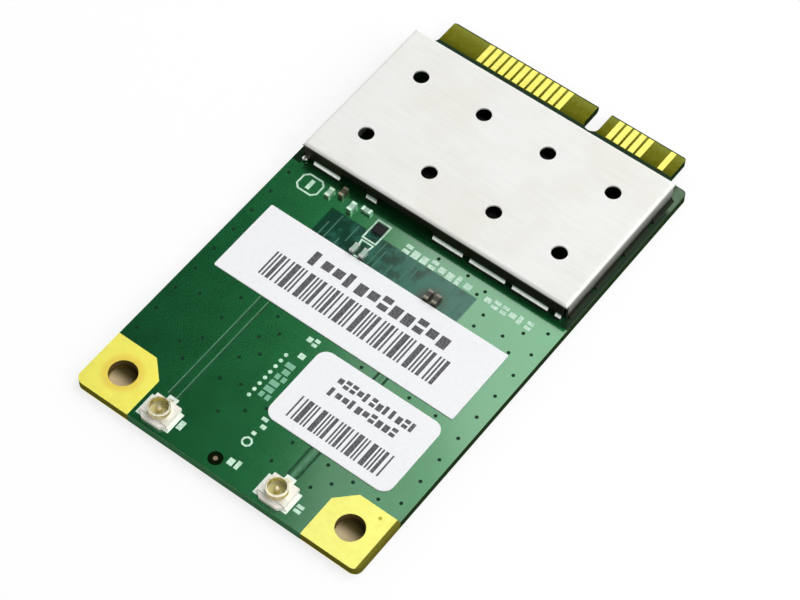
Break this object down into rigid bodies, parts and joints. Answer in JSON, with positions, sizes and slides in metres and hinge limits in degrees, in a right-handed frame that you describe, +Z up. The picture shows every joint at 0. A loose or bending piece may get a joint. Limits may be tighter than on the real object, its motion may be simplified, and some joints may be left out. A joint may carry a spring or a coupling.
{
  "type": "laptop wifi card",
  "caption": "Flat green circuit board with a gold edge connector, a folded metal shield can, screw pads, coaxial antenna sockets and plain labels; adds wireless networking to a laptop.",
  "frame": {"origin": "middle of the underside of the board's bounding box", "axes": "+Z up off the component side, +Y along the board out of the edge connector, +X to the right of the key notch side"},
  "size_m": [0.03, 0.051, 0.003],
  "materials": {
    "board_mask": "glossy green solder mask",
    "gold_plating": "satin gold",
    "shield_tinplate": "satin tinplate",
    "solder": "bright",
    "label_paper": "matte white",
    "socket_insulator": "ivory",
    "socket_gold": "bright gold",
    "chip_mould": "matte black",
    "tinned_lead": "bright tin",
    "capacitor_ceramic": "tan",
    "resistor_body": "black glaze",
    "balun_ceramic": "off white",
    "crystal_ceramic": "dark ceramic",
    "crystal_lid": "satin metal",
    "ferrite": "dark grey"
  },
  "bodies": {
    "root": {"circuit_board": "board_mask", "contacts_top": "gold_plating", "contacts_bottom": "gold_plating", "screw_pad_left": "gold_plating", "screw_pad_right": "gold_plating", "fiducial_dot": "gold_plating", "shield_can": "shield_tinplate", "shield_solder": "solder", "large_label": "label_paper", "small_label": "label_paper", "socket_insulator_left": "socket_insulator", "socket_shell_left": "socket_gold", "socket_pin_left": "socket_gold", "socket_insulator_right": "socket_insulator", "socket_shell_right": "socket_gold", "socket_pin_right": "socket_gold", "socket_lands": "solder", "antenna_switch": "chip_mould", "antenna_switch_leads": "tinned_lead", "front_capacitors": "capacitor_ceramic", "front_capacitor_ends": "tinned_lead", "front_resistors": "resistor_body", "front_resistor_ends": "tinned_lead", "radio_chip": "chip_mould", "radio_chip_leads": "tinned_lead", "power_amplifier_1": "chip_mould", "power_amplifier_2": "chip_mould", "duplex_switch": "chip_mould", "front_end_leads": "tinned_lead", "baluns": "balun_ceramic", "balun_ends": "tinned_lead", "crystal_base": "crystal_ceramic", "crystal_lid": "crystal_lid", "power_inductor": "ferrite", "inductor_ends": "tinned_lead", "voltage_regulator": "chip_mould", "regulator_leads": "tinned_lead", "memory_chip": "chip_mould", "memory_leads": "tinned_lead", "inner_capacitors": "capacitor_ceramic", "inner_capacitor_ends": "tinned_lead", "inner_resistors": "resistor_body", "inner_resistor_ends": "tinned_lead"}
  },
  "joints": []
}
